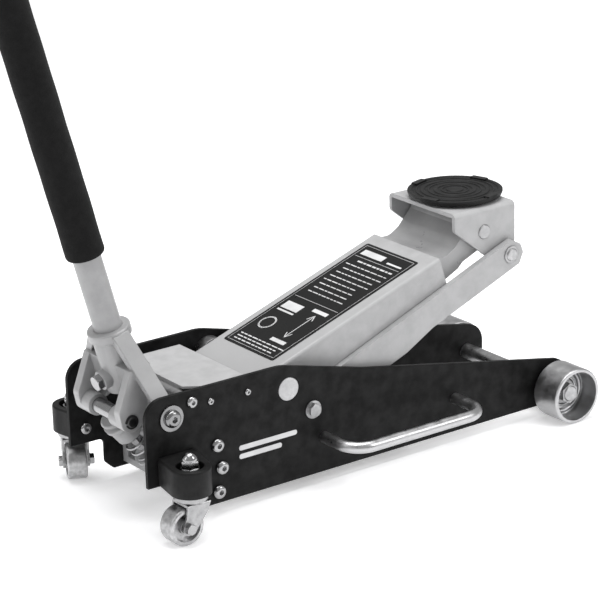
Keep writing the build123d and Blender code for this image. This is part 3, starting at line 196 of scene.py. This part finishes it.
def casting(name, base, rough, corners=True):
    """Painted casting: paint over a lumpy skin; corners paints shade into its creases, lightens its
    convex edges and rounds them.
    """
    s = Shader(name)
    drift = s.ramp(s.noise(22, 5), 0, 1)
    shade = s.blend(drift, grey(base * 0.88), grey(base * 1.1))
    if corners:
        # painted shade: creases darken towards base * 0.6; convex edges are made lighter
        point = s.add("ShaderNodeNewGeometry").outputs["Pointiness"]
        shade = s.blend(s.ramp(point, 0.45, 0.0, 0.34, 0.455), shade, grey(base * 0.6))
        shade = s.blend(s.ramp(point, 0.0, 0.5, 0.535, 0.60), shade, grey(min(base * 1.3, 0.9)))
    s.link(shade, s.bsdf.inputs["Base Color"])
    s.link(s.ramp(s.noise(50, 4), rough * 0.8, rough * 1.2), s.bsdf.inputs["Roughness"])
    s.set(Metallic=0.15)
    s.bump(s.noise(330, 6, rough=0.7), 0.25, 0.0006, 0.0022 if corners else 0)
    return s.material


def metal(name, base, rough, grain, scale, strength, contrast=0.18):
    """Bare or plated metal with fine lines along its grain and dull patches."""
    s = Shader(name)
    s.set(Metallic=1.0)
    lines = s.noise(scale, 4, grain, 0.6)
    bright = grey(min(base * (1 + contrast), 0.95))
    shade = s.blend(s.ramp(lines, 0, 1), grey(base * (1 - contrast)), bright)
    dull = s.ramp(s.noise(40, 5), 0.0, 0.35, 0.55, 0.8)
    shade = s.blend(dull, shade, grey(base * 0.6))
    s.link(shade, s.bsdf.inputs["Base Color"])
    s.link(s.ramp(s.noise(70, 4), rough * 0.7, rough * 1.35), s.bsdf.inputs["Roughness"])
    s.bump(lines, strength, 0.0002, 0.0006)
    return s.material


def turned(name, base, rough, centre):
    """Turned metal: fine rings about a line along Y through the centre, as a lathe leaves them."""
    s = Shader(name)
    s.set(Metallic=1.0)
    mapping = s.add("ShaderNodeMapping")
    mapping.inputs["Location"].default_value = tuple(-c for c in centre)
    s.link(s.coords, mapping.inputs["Vector"])
    wave = s.add("ShaderNodeTexWave", wave_type="RINGS", rings_direction="Y")
    wave.inputs["Scale"].default_value = 420
    wave.inputs["Distortion"].default_value = 0.6
    wave.inputs["Detail"].default_value = 2
    s.link(mapping.outputs["Vector"], wave.inputs["Vector"])
    patches = s.ramp(s.noise(45, 5), 0, 1)
    shade = s.blend(patches, grey(base * 0.82), grey(base * 1.12))
    shade = s.blend(s.ramp(wave.outputs["Fac"], 0, 0.18, 0.2, 0.8), shade, grey(base * 0.7))
    s.link(shade, s.bsdf.inputs["Base Color"])
    s.link(s.ramp(s.noise(90, 3), rough * 0.8, rough * 1.25), s.bsdf.inputs["Roughness"])
    s.bump(wave.outputs["Fac"], 0.12, 0.0002, 0.0008)
    return s.material


def rubber(name, base, rough, grain=700, strength=0.3):
    """Moulded black rubber with a fine matte grain and greyer edges."""
    s = Shader(name)
    s.set(Specular_IOR_Level=0.2)
    shade = s.blend(s.ramp(s.noise(30, 5), 0, 1), grey(base * 0.75), grey(base * 1.35))
    shade = s.blend(s.edges(0.52, 0.58), shade, grey(base * 2.2))
    s.link(shade, s.bsdf.inputs["Base Color"])
    s.link(s.ramp(s.noise(80, 4), rough * 0.85, rough * 1.15), s.bsdf.inputs["Roughness"])
    s.bump(s.noise(grain, 4), strength, 0.0004, 0.0006)
    return s.material


def foam(name, base):
    """Closed-cell foam: pinholes with painted shade in them over soft mottling, with a faint sheen."""
    s = Shader(name)
    s.set(Sheen_Weight=0.03, Sheen_Roughness=0.6, Specular_IOR_Level=0.15)
    cells = s.add("ShaderNodeTexVoronoi")
    cells.inputs["Scale"].default_value = 620
    s.link(s.coords, cells.inputs["Vector"])
    shade = s.blend(s.ramp(s.noise(14, 4), 0, 1), grey(base * 0.8), grey(base * 1.25))
    # painted shade: the pinholes' pits are darkened towards base * 0.4
    shade = s.blend(s.ramp(cells.outputs["Distance"], 0.5, 0.0, 0.1, 0.45), shade, grey(base * 0.4))
    s.link(shade, s.bsdf.inputs["Base Color"])
    s.link(s.ramp(s.noise(120, 4), 0.78, 0.95), s.bsdf.inputs["Roughness"])
    s.bump(cells.outputs["Distance"], 0.35, 0.0005, 0)
    return s.material


def printed(name, base, rough):
    """Printed film: an even ink with a faint grain."""
    s = Shader(name)
    s.set(Specular_IOR_Level=0.15)
    shade = s.blend(s.ramp(s.noise(24, 3), 0, 1), grey(base * 0.85), grey(base * 1.12))
    s.link(shade, s.bsdf.inputs["Base Color"])
    s.link(s.ramp(s.noise(160, 4), rough * 0.8, rough * 1.25), s.bsdf.inputs["Roughness"])
    s.bump(s.noise(1200, 2), 0.05, 0.0002, 0.0004)
    return s.material


wheel_low, wheel_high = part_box("left_front_roller")
front_centre = ((wheel_low.x + wheel_high.x) / 2, 0, (wheel_low.z + wheel_high.z) / 2)

EVEN = (1, 1, 1)
LOOK = {
    "black_paint": paint(
        "satin_black_paint", 0.0036, rough=0.47, contrast=0.02, wear=2.6, grain=1400, strength=0.02,
        shine=0.10,
    ),
    "silver_paint": paint(
        "silver_grey_paint", 0.36, rough=0.40, contrast=0.03, wear=1.2, grain=1100, strength=0.04,
        round_edges=0.0014, shine=0.4,
    ),
    "cast_silver": casting("painted_casting", 0.33, rough=0.34),
    "black_cast": paint(
        "black_cast_paint", 0.0075, rough=0.48, contrast=0.2, wear=2.6, grain=420, strength=0.3,
        round_edges=0.0024, shine=0.15,
    ),
    "zinc": metal("zinc_plate", 0.36, rough=0.34, grain=EVEN, scale=160, strength=0.12),
    "chrome": metal(
        "bright_chrome", 0.36, rough=0.20, grain=EVEN, scale=90, strength=0.03, contrast=0.06
    ),
    "steel": metal("machined_steel", 0.40, rough=0.32, grain=(1, 6, 1), scale=240, strength=0.1),
    "roller_steel": turned("turned_roller_steel", 0.50, 0.38, front_centre),
    "handle_paint": paint(
        "silver_handle_paint", 0.29, rough=0.38, contrast=0.05, wear=1.2, grain=1200, strength=0.04
    ),
    "foam": foam("closed_cell_foam", 0.006),
    "black_rubber": rubber("moulded_rubber", 0.006, rough=0.5),
    "label": printed("black_printed_plate", 0.008, rough=0.34),
}
for entry in frame["record"]["subparts"]:
    mesh = nodes[entry["node"]].data
    mesh.materials.clear()
    mesh.materials.append(LOOK[entry["material_slot"]])

BAR = {"rough": 0.33, "grain": (1, 8, 8), "scale": 200, "strength": 0.08, "contrast": 0.1}
WORN = {"rough": 0.40, "grain": EVEN, "scale": 200, "strength": 0.2, "contrast": 0.25}
GROUND = {"rough": 0.36, "grain": EVEN, "scale": 260, "strength": 0.08, "contrast": 0.08}
OXIDE = {"rough": 0.35, "grain": EVEN, "scale": 200, "strength": 0.1}
SPECIAL = {
    "left_carry_handle": metal("satin_bar", 0.46, **BAR),
    "right_carry_handle": metal("satin_bar_right", 0.46, **BAR),
    "left_caster_wheel": metal("worn_wheel_steel_left", 0.46, **WORN),
    "right_caster_wheel": metal("worn_wheel_steel_right", 0.46, **WORN),
    "main_shaft": metal("ground_shaft", 0.42, **GROUND),
    "cradle_pin": metal("ground_pin", 0.40, **GROUND),
    "arm_neck": casting("painted_neck_casting", 0.35, rough=0.34, corners=False),
    "socket_pivot_bolts": metal(
        "pivot_bolt_plate", 0.24, rough=0.26, grain=EVEN, scale=90, strength=0.03, contrast=0.06
    ),
    "pump_roller_pin": metal("black_oxide_pin", 0.09, **OXIDE),
    "release_fork": metal("black_oxide_fork", 0.10, **OXIDE),
    "release_spindle": metal("black_oxide_spindle", 0.10, **OXIDE),
}
for node, material in SPECIAL.items():
    nodes[node].data.materials[0] = material


# ------------------------------------------------------------------ mesh helpers
def new_piece(name, build, material, body, smooth=True):
    """A mesh piece filled by build(bm) in the row frame, riding a body."""
    mesh = bpy.data.meshes.new(name)
    bm = bmesh.new()
    build(bm)
    bmesh.ops.recalc_face_normals(bm, faces=bm.faces)
    bm.to_mesh(mesh)
    bm.free()
    mesh.materials.append(material)
    if smooth:
        mesh.polygons.foreach_set("use_smooth", [True] * len(mesh.polygons))
    piece = bpy.data.objects.new(name, mesh)
    scene.collection.objects.link(piece)
    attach(piece, body)
    return piece


def lathe(bm, place, profile, steps=96, ripple=None):
    """Turn a closed profile of (radius, height) points about the local Z of a placement matrix."""
    rings = []
    for radius, height in profile:
        ring = []
        for i in range(steps):
            angle = 2 * math.pi * i / steps
            r = radius + (ripple(angle, height, radius) if ripple else 0)
            point = Vector((r * math.cos(angle), r * math.sin(angle), height))
            ring.append(bm.verts.new(place @ point))
        rings.append(ring)
    for k in range(len(rings)):
        a, b = rings[k], rings[(k + 1) % len(rings)]
        for i in range(steps):
            j = (i + 1) % steps
            bm.faces.new((a[i], a[j], b[j], b[i]))


# ------------------------------------------------------------------ handle frame
HANDLE_ANGLE = math.radians(75.1)
SOCKET = Vector((-0.16255, 0, 0.13365))
HANDLE = Matrix.Translation(SOCKET) @ Matrix.Rotation(HANDLE_ANGLE - math.pi / 2, 4, "Y")
FOAM_START, FOAM_END = 0.189, 0.620
FOAM_INNER, FOAM_OUTER = 0.0165, 0.0230
FOAM_ROWS = 110
GRIP_START, GRIP_END = 0.8688, 1.0038
GRIP_INNER, GRIP_OUTER = 0.0144, 0.0174
GRIP_RIBS = 24


def build_foam(bm):
    """The foam sleeve, with rounded ends and a skin that is slightly uneven."""
    start, end, inner, outer = FOAM_START, FOAM_END, FOAM_INNER, FOAM_OUTER
    profile = [(inner, start + 0.001), (inner + 0.0022, start), (outer - 0.0028, start + 0.0002)]
    profile += [(outer - 0.0009, start + 0.0009), (outer, start + 0.0032)]
    for i in range(1, FOAM_ROWS):
        profile.append((outer, start + 0.0032 + (end - start - 0.0064) * i / FOAM_ROWS))
    profile += [(outer, end - 0.0032), (outer - 0.0009, end - 0.0009), (outer - 0.0028, end - 0.0002)]
    profile += [(inner + 0.0022, end), (inner, end - 0.001)]

    def ripple(angle, height, radius):
        if radius < outer - 0.0005:
            return 0
        slow = math.sin(height * 71 + 2 * math.sin(angle)) * math.sin(height * 23 + angle)
        dent = math.sin(angle * 3 + height * 40) * math.sin(height * 57)
        return -0.00035 + 0.00022 * slow + 0.00012 * dent

    lathe(bm, HANDLE, profile, 120, ripple)


foam_sleeve = new_piece("foam_sleeve", build_foam, LOOK["foam"], "handle")
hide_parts("foam_grip")


def build_end_grip(bm):
    """The rubber end grip: a collar, a row of ribs and a closed end with a small hole."""
    start, end, inner, outer = GRIP_START, GRIP_END, GRIP_INNER, GRIP_OUTER
    profile = [(inner, start), (outer - 0.0006, start), (outer, start + 0.0008), (outer, start + 0.005)]
    pitch = (end - start - 0.022) / GRIP_RIBS
    rib = ((0, 0.0009), (0.12, 0.0002), (0.25, 0), (0.6, 0), (0.75, 0.0002), (0.88, 0.0009))
    for i in range(GRIP_RIBS):
        low = start + 0.008 + i * pitch
        for t, depth in rib:
            profile.append((outer - depth, low + t * pitch))
    profile += [(outer, end - 0.012), (outer, end - 0.0035), (outer - 0.001, end - 0.0012)]
    profile += [(outer - 0.0035, end), (0.0004, end), (0.0004, end - 0.003), (inner, end - 0.003)]
    lathe(bm, HANDLE, profile, 96)


end_grip = new_piece("end_grip_ribbed", build_end_grip, LOOK["black_rubber"], "handle")
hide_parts("handle_end_grip")

# ------------------------------------------------------------------ saddle tread
pad_low, pad_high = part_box("saddle_pad")
pad_centre = Vector(((pad_low.x + pad_high.x) / 2, (pad_low.y + pad_high.y) / 2, 0))
pad_top = pad_high.z - 0.0014
BEAD_HALF = 0.0011
GROOVE_BEADS = (0.0165, 0.0325, 0.0475)
RIM_BEAD = 0.0560


def build_tread(bm):
    """Low concentric beads in the pad's three grooves and a bead round its rim."""
    place = Matrix.Translation(pad_centre + Vector((0, 0, pad_top)))
    for radius in (*GROOVE_BEADS, RIM_BEAD):
        height = 0.0002 if radius == RIM_BEAD else -0.0001
        profile = [
            (radius - BEAD_HALF, -0.0012),
            (radius - BEAD_HALF * 0.5, height),
            (radius + BEAD_HALF * 0.5, height),
            (radius + BEAD_HALF, -0.0012),
        ]
        lathe(bm, place, profile, 120)


new_piece("saddle_tread", build_tread, LOOK["black_rubber"], "saddle", smooth=False)


def build_spring(bm):
    """The pump's return spring at its full length, as one rigid piece riding the chassis."""
    bm.from_mesh(nodes["pump_spring"].data)
    bm.transform(nodes["pump_spring"].matrix_world)


pump_coil = new_piece("pump_spring_coil", build_spring, LOOK["steel"], "chassis")
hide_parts("pump_spring")
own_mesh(pump_coil)

# ------------------------------------------------------------------ roller hubs
HUB_RECESS = 0.027
HUB_RING = [(0.0285, 0.0), (0.0285, 0.0016), (0.0262, 0.0030), (0.0245, 0.0030), (0.0225, 0.0)]
HUB_STEP = [(0.0195, 0.0), (0.0190, 0.0030), (0.0170, 0.0034), (0.0158, 0.0), (0.0158, -0.0005)]

for side in ("left", "right"):
    low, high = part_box(f"{side}_front_roller")
    out = 1 if side == "left" else -1
    face = max(abs(low.y), abs(high.y)) - HUB_RECESS
    hub = Vector(((low.x + high.x) / 2, out * face, (low.z + high.z) / 2))
    turn = Matrix.Rotation(-out * math.pi / 2, 4, "X")

    def build_hub(bm, place=Matrix.Translation(hub) @ turn):
        """A pressed ring and a dished step round the hub on the floor of the roller's recess."""
        lathe(bm, place, HUB_RING)
        lathe(bm, place, HUB_STEP)

    new_piece(f"{side}_roller_hub", build_hub, LOOK["roller_steel"], f"{side}_roller")


# ------------------------------------------------------------------ printed marks
WHITE_INK = printed("white_print", 0.62, 0.45)
ARM_ANGLE = math.radians(21.23)
ARM_PIVOT_Z = 0.1289
ARM_TOP_FALL = 0.0459
LABEL_SLOPE = math.atan(ARM_TOP_FALL)
LABEL_START, LABEL_LENGTH, LABEL_WIDTH = 0.0126, 0.2305, 0.101
LABEL_MID = LABEL_START + LABEL_LENGTH / 2
LABEL_MARGIN = 0.004
WORD_GAP = 0.0018
LABEL_FRAME = (
    Matrix.Translation((0, 0, ARM_PIVOT_Z))
    @ Matrix.Rotation(-ARM_ANGLE, 4, "Y")
    @ Matrix.Translation((LABEL_MID, 0.0025, 0.0200 - ARM_TOP_FALL * LABEL_MID))
    @ Matrix.Rotation(LABEL_SLOPE, 4, "Y")
    @ Matrix.Translation((0, 0, 0.0006))
)
INK = 0.00012


def patch(bm, place, s0, s1, y0, y1):
    """One thin printed patch on a surface frame, s along its X and y across it."""
    place = place @ Matrix.Translation(((s0 + s1) / 2, (y0 + y1) / 2, INK / 2))
    size = Matrix.Diagonal((abs(s1 - s0), abs(y1 - y0), INK, 1))
    bmesh.ops.create_cube(bm, size=1.0, matrix=place @ size)


def patch_line(bm, place, points, width):
    """A printed line through points of a surface frame."""
    for (s0, y0), (s1, y1) in zip(points, points[1:]):
        length = math.hypot(s1 - s0, y1 - y0)
        turn = Matrix.Rotation(math.atan2(y1 - y0, s1 - s0), 4, "Z")
        spot = place @ Matrix.Translation(((s0 + s1) / 2, (y0 + y1) / 2, 0)) @ turn
        patch(bm, spot, -length / 2 - width / 2, length / 2 + width / 2, -width / 2, width / 2)


def build_label(bm):
    """Plain bars and a lifting symbol: rows of dashes in place of lettering."""
    pick = random.Random(7)
    place = LABEL_FRAME
    half_s, half_y = LABEL_LENGTH / 2 - LABEL_MARGIN, LABEL_WIDTH / 2 - LABEL_MARGIN
    corners = [(-half_s, -half_y), (half_s, -half_y), (half_s, half_y), (-half_s, half_y)]
    frame_line = corners + corners[:1]
    patch_line(bm, place, frame_line, 0.0005)
    patch(bm, place, 0.094, 0.104, -0.002, 0.040)
    patch(bm, place, 0.094, 0.097, -0.040, -0.012)
    patch_line(bm, place, [(0.089, -half_y + 0.004), (0.089, half_y - 0.004)], 0.0006)
    for row in range(9):
        s = 0.080 - row * 0.0092
        y = half_y - 0.006 - (0.010 if row == 0 else 0) - pick.uniform(0, 0.006)
        stop = -half_y + 0.006 + pick.uniform(0, 0.012)
        while y > stop + 0.004:
            word = min(pick.uniform(0.004, 0.013), y - stop)
            patch(bm, place, s, s + (0.0026 if row == 0 else 0.0016), y - word, y)
            y -= word + WORD_GAP
    patch_line(bm, place, [(-0.008, -half_y + 0.004), (-0.008, half_y - 0.004)], 0.0006)
    patch(bm, place, -0.034, -0.020, 0.008, 0.040)
    patch(bm, place, -0.040, -0.037, 0.008, 0.040)
    patch_line(bm, place, [(-0.075, -0.022), (-0.028, -0.022)], 0.0012)
    patch_line(bm, place, [(-0.036, -0.027), (-0.027, -0.022), (-0.036, -0.017)], 0.0012)
    patch_line(bm, place, [(-0.067, -0.027), (-0.076, -0.022), (-0.067, -0.017)], 0.0012)
    patch(bm, place, -0.022, -0.016, -0.036, -0.008)
    patch(bm, place, -0.088, -0.082, -0.036, -0.008)
    turns = [2 * math.pi * i / 20 for i in range(21)]
    ring = [(-0.065 + 0.011 * math.cos(a), 0.026 + 0.011 * math.sin(a)) for a in turns]
    patch_line(bm, place, ring, 0.0022)
    for row in range(3):
        y = 0.040
        while y > -0.036:
            word = pick.uniform(0.004, 0.012)
            patch(bm, place, -0.096 - row * 0.0055, -0.0942 - row * 0.0055, y - word, y)
            y -= word + WORD_GAP


new_piece("label_marks", build_label, WHITE_INK, "lift_arm", smooth=False)

plate_low, plate_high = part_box("right_side_plate")
STRIPE_BARS = ((0.0735, -0.072, 0.010), (0.0630, -0.072, -0.012))
STRIPE_HEIGHT = 0.0062
STRIPE_ROUNDING = 0.0028


def build_stripes(bm):
    """Two plain bars on the outside of each side plate."""
    for side in (-1, 1):
        outer = side * max(abs(plate_low.y), abs(plate_high.y))
        for z, x0, x1 in STRIPE_BARS:
            place = Matrix.Translation(((x0 + x1) / 2, outer + side * INK / 2, z))
            size = Matrix.Diagonal((x1 - x0, INK, STRIPE_HEIGHT, 1))
            made = bmesh.ops.create_cube(bm, size=1.0, matrix=place @ size)
            upright = [
                e for e in {e for v in made["verts"] for e in v.link_edges}
                if abs((e.verts[0].co - e.verts[1].co).y) > INK * 0.5
            ]
            bmesh.ops.bevel(
                bm, geom=upright, offset=STRIPE_ROUNDING, segments=5, profile=0.5, affect="EDGES"
            )


new_piece("plate_stripes", build_stripes, WHITE_INK, "chassis", smooth=False)


# ------------------------------------------------------------------ stage
FLOOR_HALF = 8
FLOOR_GLOW = 0.32
SKY_STRENGTH = 0.5

floor_mesh = bpy.data.meshes.new("floor")
floor_bm = bmesh.new()
bmesh.ops.create_grid(floor_bm, x_segments=1, y_segments=1, size=FLOOR_HALF)
floor_bm.to_mesh(floor_mesh)
floor_bm.free()
floor = bpy.data.objects.new("floor", floor_mesh)
scene.collection.objects.link(floor)
floor_look = Shader("pale_floor")
floor_look.set(
    Roughness=0.8, Specular_IOR_Level=0.1, Emission_Color=(1, 1, 1, 1), Emission_Strength=FLOOR_GLOW
)
floor_look.link(
    floor_look.blend(floor_look.ramp(floor_look.noise(3, 2), 0, 1), grey(0.90), grey(0.93)),
    floor_look.bsdf.inputs["Base Color"],
)
floor.data.materials.append(floor_look.material)

world = bpy.data.worlds.new("studio")
scene.world = world
world.use_nodes = True
background = world.node_tree.nodes["Background"]
background.inputs["Color"].default_value = (1, 1, 1, 1)
background.inputs["Strength"].default_value = SKY_STRENGTH


def soft_light(name, position, target, size, power):
    """An area light of a size in metres and a power in watts, facing its target."""
    data = bpy.data.lights.new(name, "AREA")
    data.shape = "RECTANGLE"
    data.size, data.size_y = size
    data.energy = power
    light = bpy.data.objects.new(name, data)
    light.location = position
    aim = Vector(target) - Vector(position)
    light.rotation_euler = aim.to_track_quat("-Z", "Y").to_euler()
    scene.collection.objects.link(light)


soft_light("top", (0.1, 0.2, 2.6), (0.1, 0, 0.1), (2.2, 1.6), 62)
soft_light("right_high", (1.6, -2.2, 1.9), (0.1, 0, 0.2), (1.0, 1.6), 30)
soft_light("left_back", (-2.2, 0.4, 1.3), (0, 0, 0.2), (0.7, 1.6), 9)
